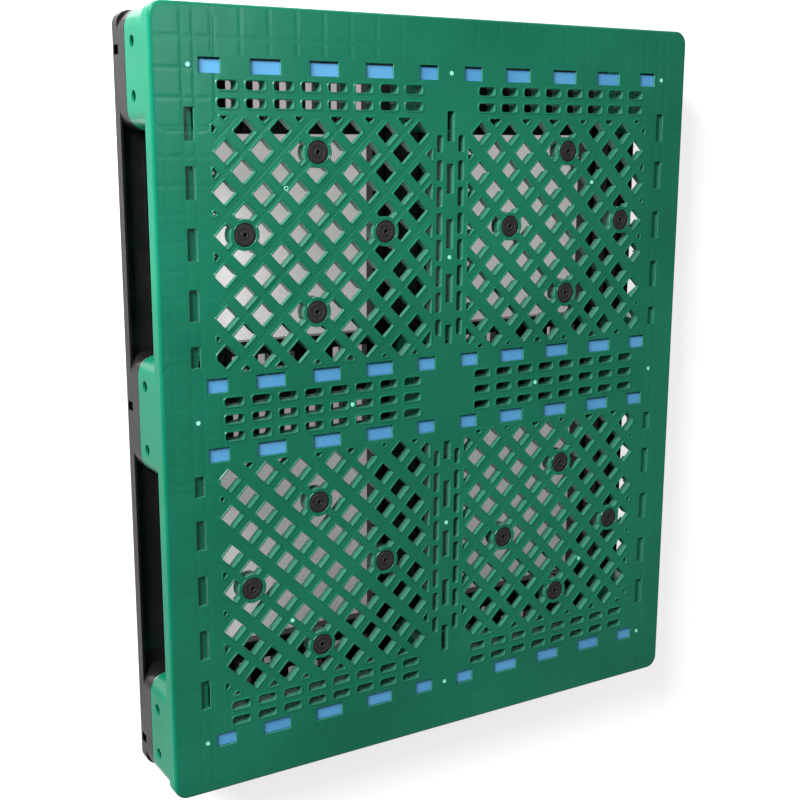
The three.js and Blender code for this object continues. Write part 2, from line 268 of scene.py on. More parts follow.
def area(loop):
    x, y = np.asarray(loop).T
    return 0.5 * float(np.dot(x, np.roll(y, -1)) - np.dot(y, np.roll(x, -1)))


def clipped(polygon, normal, limit):
    """The part of a convex polygon where normal . point <= limit."""
    kept = []
    for index, point in enumerate(polygon):
        following = polygon[(index + 1) % len(polygon)]
        here, there = normal.dot(point) - limit, normal.dot(following) - limit
        if here <= 0:
            kept.append(point)
        if here * there < 0:
            kept.append(point.lerp(following, here / (here - there)))
    return kept


def field_edges():
    edges = []
    for index, (low, high) in enumerate((FIELD_X, FIELD_Y)):
        normal = Vector((1 - index, index))
        edges += [(normal, high), (-normal, -low)]
    for sign_x in SIDES:
        for sign_y in SIDES:
            corner = Vector((FIELD_X[sign_x > 0], FIELD_Y[sign_y > 0]))
            normal = Vector((sign_x, sign_y))
            edges.append((normal, normal.dot(corner) - FIELD_CHAMFER))
    return edges


def lattice_point(across, along):
    return LATTICE_CENTRE + across * ACROSS + along * ALONG


def plug_places():
    """Plug centres in the quarter where x and y are positive."""
    reach = 2 * LATTICE_PITCH
    return [lattice_point(a * reach, b * reach) for a in SIDES for b in SIDES]


def pushed_off_bosses(loop):
    """The loop kept clear of the round bosses, with an arc where it meets one."""
    for centre in plug_places():
        gap = np.linalg.norm(loop - centre, axis=1)
        if gap.min() > BOSS_RADIUS + LATTICE_HOLE:
            continue
        fine = []
        for index, point in enumerate(loop):
            following = loop[(index + 1) % len(loop)]
            pieces = max(1, round(np.linalg.norm(following - point) / 1.2))
            fine += [point + (following - point) * step / pieces for step in range(pieces)]
        away = np.array(fine) - centre
        distance = np.linalg.norm(away, axis=1, keepdims=True)
        if distance.min() >= BOSS_RADIUS:
            continue
        inside = distance[:, 0] < BOSS_RADIUS
        away = np.where(distance < BOSS_RADIUS, away / distance * BOSS_RADIUS, away)
        near = inside | np.roll(inside, 1) | np.roll(inside, -1)
        original = np.zeros(len(fine), bool)
        for point in loop:
            original |= np.linalg.norm(np.array(fine) - point, axis=1) < 1e-6
        keep = near | original
        loop = (away + centre)[keep]
    return loop


def wall_depths(loop, across, side):
    """How deep a hole's wall goes at each point: shallow along the main strip, deepest on a boss."""
    middle = lattice_point(across, 0)
    towards_main = (loop - middle) @ np.array(ACROSS) * side
    depths = np.where(towards_main > 0.9 * LATTICE_HOLE / 2, SHALLOW_WALL, DEEP_WALL)
    for centre in plug_places():
        on_boss = np.linalg.norm(loop - np.array(centre), axis=1) < BOSS_RADIUS + 0.1
        depths = np.where(on_boss, BOSS_WALL, depths)
    return depths


def lattice_holes():
    """Each hole's outline and its wall's depth, in the quarter where x and y are positive."""
    holes = []
    half = LATTICE_HOLE / 2
    corners = ((-1, -1), (-1, 1), (1, 1), (1, -1))
    for pair in LATTICE_PAIRS:
        for side in SIDES:
            for step in LATTICE_STEPS:
                across = pair * 2 * LATTICE_PITCH + side * LATTICE_PAIR / 2
                along = (step + 0.5) * LATTICE_PITCH
                hole = [lattice_point(across + a * half, along + b * half) for a, b in corners]
                for normal, limit in field_edges():
                    hole = clipped(hole, normal, limit)
                if len(hole) < 3 or abs(area(hole)) < SMALLEST_HOLE_AREA:
                    continue
                loop = np.array(hole if area(hole) > 0 else hole[::-1])
                loop = pushed_off_bosses(rounded(loop, HOLE_CORNER))
                holes.append((loop, wall_depths(loop, across, side)))
    return holes


# ======== Mesh making ========

class Shell:
    """Gathers points and faces in millimetres, then makes one Blender object."""

    def __init__(self):
        self.points = []
        self.faces = []
        self.slots = []
        self.slot = 0
        self.sign_z = 1

    def ring(self, loop, z):
        """Adds a loop at one height, or at a height for each of its points."""
        first = len(self.points)
        heights = np.broadcast_to(self.sign_z * np.asarray(z, float), len(loop))
        self.points += [(x, y, height) for (x, y), height in zip(loop, heights)]
        return list(range(first, first + len(loop)))

    def face(self, indices):
        self.faces.append(tuple(indices))
        self.slots.append(self.slot)

    def strip(self, ring, other):
        count = len(ring)
        for index in range(count):
            after = (index + 1) % count
            self.face((ring[index], ring[after], other[after], other[index]))

    def profile(self, loop, steps):
        """Joins copies of the loop, each moved outwards and to a height. Returns the end rings."""
        rings = [self.ring(offset_loop(loop, distance), z) for distance, z in steps]
        for ring, other in zip(rings, rings[1:]):
            self.strip(ring, other)
        return rings[0], rings[-1]

    def cap(self, outer, holes=()):
        """A flat face inside one ring and outside the others, in triangles."""
        rings = [outer, *holes]
        indices = [index for ring in rings for index in ring]
        flat = [Vector(self.points[index][:2]) for index in indices]
        loops, first = [], 0
        for ring in rings:
            loops.append(list(range(first, first + len(ring))))
            first += len(ring)
        cdt = geometry.delaunay_2d_cdt(flat, [], loops, 1, 1e-5)
        faces, sources, origins = cdt[2], cdt[3], cdt[5]
        for face, origin in zip(faces, origins):
            if list(origin) == [0]:
                self.face(indices[sources[index][0]] for index in face)

    def prism(self, loop, low, high):
        bottom, top = self.profile(np.asarray(loop, float), [(0, low), (0, high)])
        self.cap(bottom)
        self.cap(top)

    def wall(self, start, end, width, low, high):
        """An upright plate along a line."""
        start, end = np.asarray(start, float), np.asarray(end, float)
        along = end - start
        side = np.array((-along[1], along[0])) / np.linalg.norm(along) * width / 2
        self.prism([start - side, end - side, end + side, start + side], low, high)

    def build(self, name, materials):
        mesh = bpy.data.meshes.new(name)
        scaled = [tuple(value * MM for value in point) for point in self.points]
        mesh.from_pydata(scaled, [], self.faces)
        mesh.polygons.foreach_set("material_index", self.slots)
        for surface in materials:
            mesh.materials.append(surface)
        return finished_object(name, mesh)


def finished_object(name, mesh):
    """An object of the mesh, with its faces turned outwards and shaded smooth but for its edges."""
    work = bmesh.new()
    work.from_mesh(mesh)
    bmesh.ops.recalc_face_normals(work, faces=work.faces)
    work.to_mesh(mesh)
    work.free()
    mesh.shade_smooth()
    mesh.set_sharp_from_angle(angle=SHARP_EDGE)
    mesh.update()
    piece = bpy.data.objects.new(name, mesh)
    bpy.context.scene.collection.objects.link(piece)
    weighted = piece.modifiers.new("even_shading", "WEIGHTED_NORMAL")
    weighted.keep_sharp = True
    return piece


def rounding(radius, top, sign=1, steps=ROUND_STEPS):
    """Profile steps of a rounded edge, from the flat face down to the wall."""
    result = []
    for step in range(steps + 1):
        angle = math.pi / 2 * step / steps
        result.append((sign * radius * (1 - math.sin(angle)), top - radius * (1 - math.cos(angle))))
    return result


# ======== Materials ========

class Nodes:
    """A short way to write a material's nodes."""

    def __init__(self, name):
        self.surface = bpy.data.materials.new(name)
        self.surface.use_nodes = True
        self.tree = self.surface.node_tree
        self.shader = self.tree.nodes["Principled BSDF"]
        self.place = self.add("ShaderNodeTexCoord").outputs["Object"]

    def add(self, kind, settings=None, **inputs):
        node = self.tree.nodes.new(kind)
        for key, value in (settings or {}).items():
            setattr(node, key, value)
        for key, value in inputs.items():
            self.put(node.inputs[key.replace("_", " ")], value)
        return node

    def put(self, socket, value):
        if isinstance(value, bpy.types.NodeSocket):
            self.tree.links.new(value, socket)
        else:
            socket.default_value = value

    def math(self, operation, first, second=0.0):
        node = self.add("ShaderNodeMath", {"operation": operation})
        for socket, value in zip(node.inputs, (first, second)):
            self.put(socket, value)
        return node.outputs[0]

    def noise(self, scale, detail=3.0, roughness=0.55, stretch=(1, 1, 1), place=None):
        mapped = self.add("ShaderNodeMapping", Vector=place or self.place, Scale=stretch)
        node = self.add("ShaderNodeTexNoise", Vector=mapped.outputs[0], Scale=scale, Detail=detail,
                        Roughness=roughness)
        return node.outputs["Fac"]

    def ramp(self, value, low, high, start=0.0, end=1.0, smooth=False):
        node = self.add("ShaderNodeMapRange", {"clamp": True}, Value=value)
        if smooth:
            node.interpolation_type = "SMOOTHSTEP"
        node.inputs["From Min"].default_value = low
        node.inputs["From Max"].default_value = high
        self.put(node.inputs["To Min"], start)
        self.put(node.inputs["To Max"], end)
        return node.outputs[0]

    def mix(self, share, first, second):
        node = self.add("ShaderNodeMix", {"data_type": "RGBA"})
        self.put(node.inputs["Factor"], share)
        self.put(node.inputs[6], first)
        self.put(node.inputs[7], second)
        return node.outputs[2]

    def bump(self, height, strength, distance, normal=None):
        node = self.add("ShaderNodeBump", Height=height, Strength=strength, Distance=distance)
        if normal is not None:
            self.put(node.inputs["Normal"], normal)
        return node.outputs[0]

    def finish(self, colour, roughness, normal, **others):
        self.put(self.shader.inputs["Base Color"], colour)
        self.put(self.shader.inputs["Roughness"], roughness)
        self.put(self.shader.inputs["Normal"], normal)
        for key, value in others.items():
            self.put(self.shader.inputs[key.replace("_", " ")], value)
        return self.surface


def srgb(red, green, blue):
    """A colour given as 0 to 255, made linear."""
    def linear(value):
        share = value / 255
        return share / 12.92 if share <= 0.04045 else ((share + 0.055) / 1.055) ** 2.4
    return (linear(red), linear(green), linear(blue), 1.0)


def green_plastic():
    """Moulded green plastic: cloudy flow, sink marks, dents, grain and scuffs, with a painted reflection
    paling the thin upright walls.
    """
    n = Nodes("green_plastic")
    clouds = n.noise(3.2, 4)
    scuffs = n.noise(38, 5, 0.7, stretch=(1, 0.25, 1))
    colour = n.mix(n.ramp(clouds, 0.35, 0.68), srgb(10, 106, 80), srgb(20, 122, 93))
    colour = n.mix(n.ramp(scuffs, 0.64, 0.8, 0, 0.14), colour, srgb(84, 166, 142))
    roughness = n.ramp(n.noise(9, 4), 0.3, 0.75, 0.2, 0.34)
    patches = n.ramp(n.noise(5, 2), 0.3, 0.6, 0.35, 1)
    normal = n.bump(n.math("MULTIPLY", sink_marks(n), patches), 1, MARK_DEPTH)
    normal = n.bump(n.noise(24, 3), 0.35, 0.0012, normal)
    normal = n.bump(n.noise(900, 2), 0.1, 0.0001, normal)
    split = n.add("ShaderNodeSeparateXYZ", Vector=n.place).outputs
    inside = off_long_sides(n, split)
    # Painted reflection: upright hole walls above the skirt and away from the outer sides are mixed
    # towards pale mint, as if bright light shone off them.
    turned = n.add("ShaderNodeTexCoord").outputs["Normal"]
    facing_up = n.math("ABSOLUTE", n.add("ShaderNodeSeparateXYZ", Vector=turned).outputs["Z"])
    painted_wall_light = n.math("MULTIPLY", n.ramp(facing_up, *UPRIGHT, PAINTED_WALL_LIGHT_SHARE, 0), inside)
    painted_wall_light = n.math("MULTIPLY", painted_wall_light, n.ramp(n.math("ABSOLUTE", split["Y"]), *SHORT_SIDE, 1, 0))
    painted_wall_light = n.math("MULTIPLY", painted_wall_light, n.ramp(split["Z"], *DECK_SKIRT))
    # The pale mint of the painted reflection on those walls, not the plastic's own colour.
    colour = n.mix(painted_wall_light, colour, srgb(130, 182, 164))
    return n.finish(colour, roughness, normal, Specular_IOR_Level=n.ramp(inside, 0, 1, 0.03, 0.45))


def off_long_sides(n, split):
    """0 on the pallet's long sides, which are scuffed dull, and 1 on the rest."""
    return n.ramp(n.math("ABSOLUTE", split["X"]), *LONG_SIDE, 1, 0)


def sink_marks(n):
    """How far the skin has sunk over the blocks' outlines and over the ribs of the frame, 0 to 1."""
    split = n.add("ShaderNodeSeparateXYZ", Vector=n.place).outputs
    x, y = (n.math("MULTIPLY", n.math("ABSOLUTE", split[axis]), 1 / MM) for axis in "XY")
    past_tubes = TUBE_ROWS[-1] + PAST_TUBES
    beside = n.ramp(x, FIELD_X[1], FIELD_X[1] + MARK_FADE)
    beyond = n.ramp(y, past_tubes, past_tubes + MARK_FADE)

    def gap(value, place):
        return n.math("ABSOLUTE", n.math("SUBTRACT", value, place))

    def spaced(value, place, pitch):
        return n.math("PINGPONG", n.math("SUBTRACT", value, place), pitch / 2)

    def between(value, low, high):
        inside = n.ramp(value, low, low + MARK_FADE)
        return n.math("MULTIPLY", inside, n.ramp(value, high, high - MARK_FADE))

    def groove(distance, share=1.0, width=MARK_WIDTH):
        return n.ramp(distance, 0, width, share, 0, smooth=True)

    def outline(place_y, half_y):
        beyond_x = n.math("SUBTRACT", gap(x, BLOCK_MARK_X), BLOCK_MARK_ROUND)
        beyond_y = n.math("SUBTRACT", gap(y, place_y), half_y - BLOCK_MARK_ROUND)
        squares = [n.math("POWER", n.math("MAXIMUM", side, 0), 2) for side in (beyond_x, beyond_y)]
        return gap(n.math("SQRT", n.math("ADD", *squares)), BLOCK_MARK_ROUND)

    across = n.math("ADD", n.math("MULTIPLY", n.math("SUBTRACT", x, LATTICE_CENTRE.x), ACROSS.x),
                    n.math("MULTIPLY", n.math("SUBTRACT", y, LATTICE_CENTRE.y), ACROSS.y))
    field = n.math("MULTIPLY", between(x, *FIELD_X), between(y, *FIELD_Y))
    blocks = n.math("MINIMUM", *(outline(*mark) for mark in BLOCK_MARKS))
    before_end = n.ramp(y, EDGE_LINE_END, EDGE_LINE_END - MARK_FADE)
    marks = [
        groove(n.math("MINIMUM", *(gap(x, line) for line in POCKET_LINES))),
        n.math("MULTIPLY", groove(spaced(y, SIDE_LINE_START, SIDE_LINE_PITCH), 0.7), beside),
        n.math("MULTIPLY", groove(gap(x, EDGE_LINE), 0.6), before_end),
        n.math("MULTIPLY", groove(spaced(x, SLOT_CENTRE, SLOT_PITCH), 0.7), beyond),
        n.math("MULTIPLY", groove(gap(y, END_LINE), 0.7), beyond),
        groove(blocks),
        n.math("MULTIPLY", groove(spaced(across, 0, LATTICE_PITCH), 0.8, LATTICE_MARK_WIDTH), field),
    ]
    total = marks[0]
    for mark in marks[1:]:
        total = n.math("MAXIMUM", total, mark)
    return n.math("SUBTRACT", 1, total)


def black_plastic():
    """Recycled black plastic: uneven gloss, dust in patches and fine scratches."""
    n = Nodes("black_plastic")
    dust = n.ramp(n.noise(7, 5, 0.65), 0.5, 0.8, 0, 0.35)
    colour = n.mix(dust, srgb(24, 23, 22), srgb(56, 52, 49))
    scratches = n.noise(60, 4, 0.7, stretch=(0.15, 1, 1))
    colour = n.mix(n.ramp(scratches, 0.66, 0.8, 0, 0.3), colour, srgb(120, 115, 108))
    roughness = n.ramp(n.noise(14, 4), 0.3, 0.75, 0.2, 0.38)
    normal = n.bump(n.noise(30, 3), 0.3, 0.001)
    normal = n.bump(n.noise(700, 2), 0.15, 0.0001, normal)
    split = n.add("ShaderNodeSeparateXYZ", Vector=n.place).outputs
    gloss = n.ramp(off_long_sides(n, split), 0, 1, 0.06, 0.5)
    return n.finish(colour, roughness, normal, Specular_IOR_Level=gloss)


def rubber():
    """Black rubber with dust worn into it and a fine pebbled grain."""
    n = Nodes("black_rubber")
    dust = n.ramp(n.noise(60, 5, 0.7), 0.4, 0.75, 0, 0.6)
    colour = n.mix(dust, srgb(27, 25, 25), srgb(52, 48, 47))
    roughness = n.ramp(n.noise(110, 3), 0.3, 0.7, 0.62, 0.85)
    normal = n.bump(n.noise(1500, 3), 0.4, 0.0002)
    return n.finish(colour, roughness, normal)


def blue_steel():
    """Light blue powder coat with orange peel and a few rubbed marks."""
    n = Nodes("blue_steel")
    rubbed = n.noise(22, 6, 0.75, stretch=(0.2, 1, 1))
    colour = n.mix(n.ramp(n.noise(5, 3), 0.35, 0.7), srgb(84, 158, 212), srgb(98, 172, 224))
    colour = n.mix(n.ramp(rubbed, 0.68, 0.8, 0, 0.5), colour, srgb(176, 205, 226))
    roughness = n.ramp(rubbed, 0.3, 0.8, 0.32, 0.5)
    normal = n.bump(n.noise(420, 2), 0.2, 0.0002)
    return n.finish(colour, roughness, normal)


def gate_plastic():
    """The clear, glossy spot that the mould's gate leaves."""
    n = Nodes("gate_plastic")
    colour = n.mix(n.noise(300, 3), srgb(120, 235, 205), srgb(190, 255, 240))
    roughness = n.ramp(n.noise(500, 2), 0.3, 0.7, 0.15, 0.3)
    normal = n.bump(n.noise(500, 3), 0.6, 0.0004)
    return n.finish(colour, roughness, normal)


def floor_surface():
    """Pale matt floor, glowing evenly round the pallet; under the deck its glow is painted light that
    dims towards -y as painted shade, with a pinkish tint, so that it reads pale through the deck.
    """
    n = Nodes("pale_floor")
    colour = n.mix(n.noise(2, 3), srgb(240, 240, 240), srgb(247, 247, 247))
    split = n.add("ShaderNodeSeparateXYZ", Vector=n.place).outputs
    beyond = [n.math("SUBTRACT", n.math("ABSOLUTE", split[axis]), half * MM / 2)
              for axis, half in (("X", DECK_SIZE.x), ("Y", DECK_SIZE.y))]
    clear = n.ramp(n.math("MAXIMUM", *beyond), -0.04, 0.02, smooth=True)
    # Painted light and shade under the deck: the glow runs from dim at -y to brighter at +y.
    shaded = n.ramp(split["Y"], -0.5, 0.5, *UNDER_DECK_PAINTED_LIGHT_AND_SHADE)
    # Pinkish tint of the painted shade under the deck.
    n.put(n.shader.inputs["Emission Color"], n.mix(clear, srgb(230, 222, 221), srgb(230, 228, 228)))
    n.put(n.shader.inputs["Emission Strength"], n.ramp(clear, 0, 1, shaded, FLOOR_GLOW))
    return n.finish(colour, 0.9, n.bump(n.noise(80, 3), 0.05, 0.001))


GREEN, BLACK, RUBBER = green_plastic(), black_plastic(), rubber()
BLUE, GATE = blue_steel(), gate_plastic()


# ======== Top deck ========

def through_profile(low, wall, under):
    """A hole's raised rim, its wall down to its collar's edge and back up under the skin."""
    rim_top = DECK_TOP + RIM_HEIGHT
    rim = [(RIM_WIDTH, DECK_TOP), (RIM_WIDTH - RIM_SLOPE, rim_top)]
    return rim + rounding(RIM_ROUND, rim_top, 1, RIM_STEPS) + [(0, low), (wall, low), (wall, under)]


def slot_loops():
    slots = []
    for side in SIDES:
        for y in SLOT_ROWS:
            for index in range(SLOTS_PER_HALF):
                x = SLOT_CENTRE + (index - (SLOTS_PER_HALF - 1) / 2) * SLOT_PITCH
                slots.append(rectangle(side * x, y, SLOT_X, SLOT_Y))
    return [rounded(corners, SLOT_CORNER, SLOT_STEPS) for corners in slots]


def spine_loops():
    loops = []
    for side in SIDES:
        for y, length in SPINE_SLOTS:
            loops.append(rounded(rectangle(0, side * y, SPINE_WIDTH, length), SPINE_CORNER, 2))
        for y, length in SMALL_SLOTS:
            for x in (-SMALL_SLOT_X, SMALL_SLOT_X):
                corners = rectangle(x, side * y, SMALL_SLOT_WIDTH, length)
                loops.append(rounded(corners, SMALL_SLOT_CORNER, SLOT_STEPS))
    return loops


def top_deck():
    shell = Shell()
    under = DECK_TOP - SKIN
    outline = rounded(rectangle(0, 0, DECK_SIZE.x, DECK_SIZE.y), DECK_CORNER, CORNER_STEPS)
    edge = rounding(EDGE_ROUND, DECK_TOP, -1, 4)
    edge += [(0, DECK_BOTTOM), (-LIP_WALL, DECK_BOTTOM), (-LIP_WALL, under)]
    outer_top, outer_under = shell.profile(outline, edge)
    flush = rounding(RIM_ROUND, DECK_TOP, 1, RIM_STEPS)
    tops, unders = [], []

    def add(loop, steps):
        top, bottom = shell.profile(loop, steps)
        tops.append(top)
        unders.append(bottom)

    lattice = lattice_holes()
    for sign_x in SIDES:
        for sign_y in SIDES:
            for loop, depths in lattice:
                lows = DECK_TOP - (depths[::-1] if sign_x * sign_y < 0 else depths)
                add(mirrored(loop, sign_x, sign_y), through_profile(lows, COLLAR_WALL, under))
            for x, y in plug_places():
                add(circle(sign_x * x, sign_y * y, SEAT_RADIUS, SEAT_POINTS), seat_profile(under))
            for y, length in SPINE_SLOTS:
                corners = rectangle(sign_x * POCKET_X, sign_y * y, POCKET_WIDTH, length)
                add(rounded(corners, POCKET_CORNER, 2), flush + [(0, under)])
                pocket_tray(shell, sign_x, sign_y * y, length, under)
        for x, width in WINDOWS:
            for y in TUBE_ROWS:
                window = rounded(rectangle(sign_x * x, y, width, WINDOW_Y), WINDOW_CORNER, 2)
                add(window, rounding(WINDOW_ROUND, DECK_TOP, 1, 2) + [(0, under)])
    for loop in slot_loops():
        add(loop, through_profile(COLLAR_BOTTOM, COLLAR_WALL, under))
    for loop in spine_loops():
        add(loop, flush + [(0, COLLAR_BOTTOM), (COLLAR_WALL, COLLAR_BOTTOM), (COLLAR_WALL, under)])
    add(circle(*OPEN_GATE, OPEN_GATE_RADIUS, GATE_POINTS), [(0, DECK_TOP), (0, under)])
    shell.cap(outer_top, tops)
    shell.cap(outer_under, unders)
    for start, end in deck_ribs():
        shell.wall(start, end, RIB_WALL, RIB_BOTTOM, under + OVERLAP)
    for start, end in block_lines():
        shell.wall(start, end, BLOCK_WALL_IN_DECK, DECK_BOTTOM, DECK_TOP - POCKET_DEPTH - POCKET_WALL)
    shell.slot = 1
    for x, y in gate_marks():
        gate_mark(shell, x, y)
    return shell.build("top_deck_moulding", (GREEN, GATE))


def pocket_tray(shell, side, y, length, under):
    """A side pocket's floor, outer wall and ends. Its inner side is open."""
    floor = DECK_TOP - POCKET_DEPTH
    outer = POCKET_X + POCKET_WIDTH / 2
    inner = POCKET_X - POCKET_WIDTH / 2 + POCKET_GAP
    end = length / 2 + POCKET_WALL / 2
    box = rectangle(side * (inner + outer) / 2, y, outer - inner, length)
    shell.prism(box, floor - POCKET_WALL, floor)
    wall_x = side * (outer + POCKET_WALL / 2)
    top = under + OVERLAP
    shell.wall((wall_x, y - length / 2), (wall_x, y + length / 2), POCKET_WALL, floor - POCKET_WALL, top)
    for sign in SIDES:
        start, finish = (side * inner, y + sign * end), (side * outer, y + sign * end)
        shell.wall(start, finish, POCKET_WALL, floor - POCKET_WALL, top)


def seat_profile(under):
    """A plug's seat, its ledge and the bore below, and the boss around them."""
    seat = DECK_TOP - SEAT_DEPTH
    bore = BORE_RADIUS - SEAT_RADIUS
    rim_top = DECK_TOP + RIM_HEIGHT
    rim = [(SEAT_RIM_WIDTH, DECK_TOP), (SEAT_RIM_WIDTH - RIM_SLOPE / 2, rim_top)]
    return rim + rounding(RIM_ROUND, rim_top) + [
        (0, seat), (bore, seat), (bore, COLLAR_BOTTOM), (bore + BORE_WALL, COLLAR_BOTTOM),
        (bore + BORE_WALL, seat - BORE_WALL), (COLLAR_WALL, seat - BORE_WALL), (COLLAR_WALL, under)]


def cut_line(start, end, gaps):
    """The stretches of a line outside round or straight gaps, each given as (from, to) shares."""
    stretches, here = [], 0.0
    for low, high in sorted(gaps) + [(1.0, 1.0)]:
        if low > here:
            stretches.append((here, min(low, 1.0)))
        here = max(here, high)
    span = np.asarray(end) - np.asarray(start)
    return [(start + span * a, start + span * b) for a, b in stretches if b - a > 0.01]


def field_clip(point, direction):
    """Where a line through the field enters and leaves it."""
    low, high = -math.inf, math.inf
    for normal, limit in field_edges():
        slope, room = normal.dot(direction), limit - normal.dot(point)
        if slope > PARALLEL:
            high = min(high, room / slope)
        elif slope < -PARALLEL:
            low = max(low, room / slope)
    return low, high


def lattice_ribs():
    """Ribs under the lattice's strips, left out where they would cross a plug's bore."""
    ribs = []
    lines = [(lattice_point(step * LATTICE_PITCH, 0), ALONG) for step in LATTICE_LINES]
    lines += [(lattice_point(0, step * LATTICE_PITCH), ACROSS) for step in LATTICE_LINES]
    for point, direction in lines:
        low, high = field_clip(point, direction)
        if high - low < LATTICE_PITCH:
            continue
        start, end = np.array(point + direction * low), np.array(point + direction * high)
        gaps = []
        for centre in plug_places():
            along = (Vector(centre) - point).dot(direction)
            if (point + direction * along - centre).length < 2:
                reach = BORE_RADIUS + BORE_WALL
                gaps.append(((along - reach - low) / (high - low), (along + reach - low) / (high - low)))
        ribs += cut_line(start, end, gaps)
    return ribs


def deck_ribs():
    """Every rib under the skin, as (start, end)."""
    ribs = []
    for sign_x in SIDES:
        for sign_y in SIDES:
            for start, end in lattice_ribs():
                ribs.append((start * (sign_x, sign_y), end * (sign_x, sign_y)))
    half_x, half_y = (size / 2 - LIP_WALL + OVERLAP for size in DECK_SIZE[:2])
    tube_gaps = [((y - CHANNEL_GAP + half_y) / (2 * half_y), (y + CHANNEL_GAP + half_y) / (2 * half_y))
                 for y in TUBE_ROWS]
    for x in [sign * x for sign in SIDES for x in LONG_RIBS]:
        for start, end in cut_line(np.array((x, -half_y)), np.array((x, half_y)), tube_gaps):
            ribs.append((start, end))
    for side in SIDES:
        for y in TUBE_ROWS:
            for wall in (y - CHANNEL_HALF, y + CHANNEL_HALF):
                ribs.append(tuple((side * x, wall) for x in CHANNEL_ENDS))
        for sign_y in SIDES:
            for y in END_RIBS:
                ribs.append(((0, sign_y * y), (side * half_x, sign_y * y)))
            for y in SLOT_RIBS:
                ribs.append(tuple((side * x, sign_y * y) for x in SLOT_RIB_ENDS))
        for index in range(SLOTS_PER_HALF + 1):
            x = side * (SLOT_CENTRE + (index - SLOTS_PER_HALF / 2) * SLOT_PITCH)
            for sign_y in SIDES:
                for start, end in (*CROSS_RIBS, (OUTER_RIB_START, half_y)):
                    ribs.append(((x, sign_y * start), (x, sign_y * end)))
        for y, _length in SPINE_SLOTS:
            for sign_y in SIDES:
                line = sign_y * (y + POCKET_RIB_OFFSET)
                ribs.append(((side * POCKET_RIB_START, line), (side * half_x, line)))
    return ribs


def block_places():
    """Each half-block's node, box corners and place in its row and column."""
    places = []
    for row in ("front", "middle", "back"):
        for column in ("left", "centre", "right"):
            node = f"upper_block_{row}_{column}"
            low, high = (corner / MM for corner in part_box(node))
            places.append((node, row, column, low, high))
    return places


def block_lines():
    """The blocks' walls where they go up into the deck, with gaps for the tubes."""
    lines = []
    for _node, _row, _column, low, high in block_places():
        inset = BLOCK_WALL / 2
        left, right = low.x + inset, high.x - inset
        near, far = low.y + inset, high.y - inset
        for y in (near, far):
            lines.append(((left + BLOCK_CORNER, y), (right - BLOCK_CORNER, y)))
        for x in (left, right):
            start, end = np.array((x, near + BLOCK_CORNER)), np.array((x, far - BLOCK_CORNER))
            length = end[1] - start[1]
            gaps = [((y - CHANNEL_GAP - start[1]) / length, (y + CHANNEL_GAP - start[1]) / length)
                    for y in TUBE_ROWS if start[1] < y < end[1]]
            lines += cut_line(start, end, gaps)
    return lines


def gate_marks():
    """Where the mould's gates left a spot."""
    return sorted({(a * x, b * y) for x, y in GATES for a in SIDES for b in SIDES})


def gate_mark(shell, x, y):
    """A low button with a slight dimple, or a ring round the gate that was left open."""
    loop = circle(x, y, GATE_RADIUS, GATE_POINTS)
    top = DECK_TOP + GATE_HEIGHT
    steps = [(0, DECK_TOP - 0.3), (0, top - 0.2), (-0.3, top), (-1.1, top)]
    if (x, y) == OPEN_GATE:
        first, last = shell.profile(loop, steps + [(-1.3, DECK_TOP - 0.3)])
        shell.strip(last, first)
        return
    bottom, rim = shell.profile(loop, steps + [(-2.3, top - 0.15)])
    shell.cap(bottom)
    shell.cap(rim)


# ======== Blocks ========

def revolved(name, profile, material, count=48):
    """A solid of revolution about Z, from (radius, height) steps that start and end on the axis."""
    shell = Shell()
    rings = [shell.ring(circle(0, 0, radius, count), z) for radius, z in profile[1:-1]]
    for ring, other in zip(rings, rings[1:]):
        shell.strip(ring, other)
    for ring, z in ((rings[0], profile[0][1]), (rings[-1], profile[-1][1])):
        shell.points.append((0, 0, z))
        tip = len(shell.points) - 1
        for index in range(count):
            shell.face((ring[index], ring[(index + 1) % count], tip))
    return shell.build(name, (material,))


def cut(piece, cutters):
    """Cuts closed pieces out of another and throws them away."""
    piece.modifiers.clear()
    for cutter in cutters:
        cutter.modifiers.clear()
        hole = piece.modifiers.new("hole", "BOOLEAN")
        hole.operation, hole.solver, hole.object = "DIFFERENCE", "EXACT", cutter
    depsgraph = bpy.context.evaluated_depsgraph_get()
    mesh = bpy.data.meshes.new_from_object(piece.evaluated_get(depsgraph))
    name = piece.name
    for old in (piece, *cutters):
        bpy.data.objects.remove(old, do_unlink=True)
    return finished_object(name, mesh)


def block_outline(low, high):
    """A block's outline, out to the deck's long sides so that the mouldings read as one."""
    left = DECK_LOW.x if low.x - DECK_LOW.x < 1 else low.x
    right = DECK_HIGH.x if DECK_HIGH.x - high.x < 1 else high.x
    corners = ((left, low.y), (right, low.y), (right, high.y), (left, high.y))
    return rounded(corners, BLOCK_CORNER, CORNER_STEPS)


def tube_wall(shell, loop, low, high, round_low=0.0, round_high=0.0, foot=()):
    """An upright wall round a loop, open inside, with its outer edges rounded as asked.

    A foot of (inset, height) sets its lower part back, inside another wall.
    """
    outside = [(-round_low, low), (0, low + round_low)] if round_low else [(0, low)]
    if foot:
        inset, height = foot
        outside = [(-inset, low), (-inset, height), (0, height)]
    outside += [(0, high - round_high), (-round_high, high)] if round_high else [(0, high)]
    first, last = shell.profile(loop, outside + [(-BLOCK_WALL, high), (-BLOCK_WALL, low)])
    shell.strip(last, first)


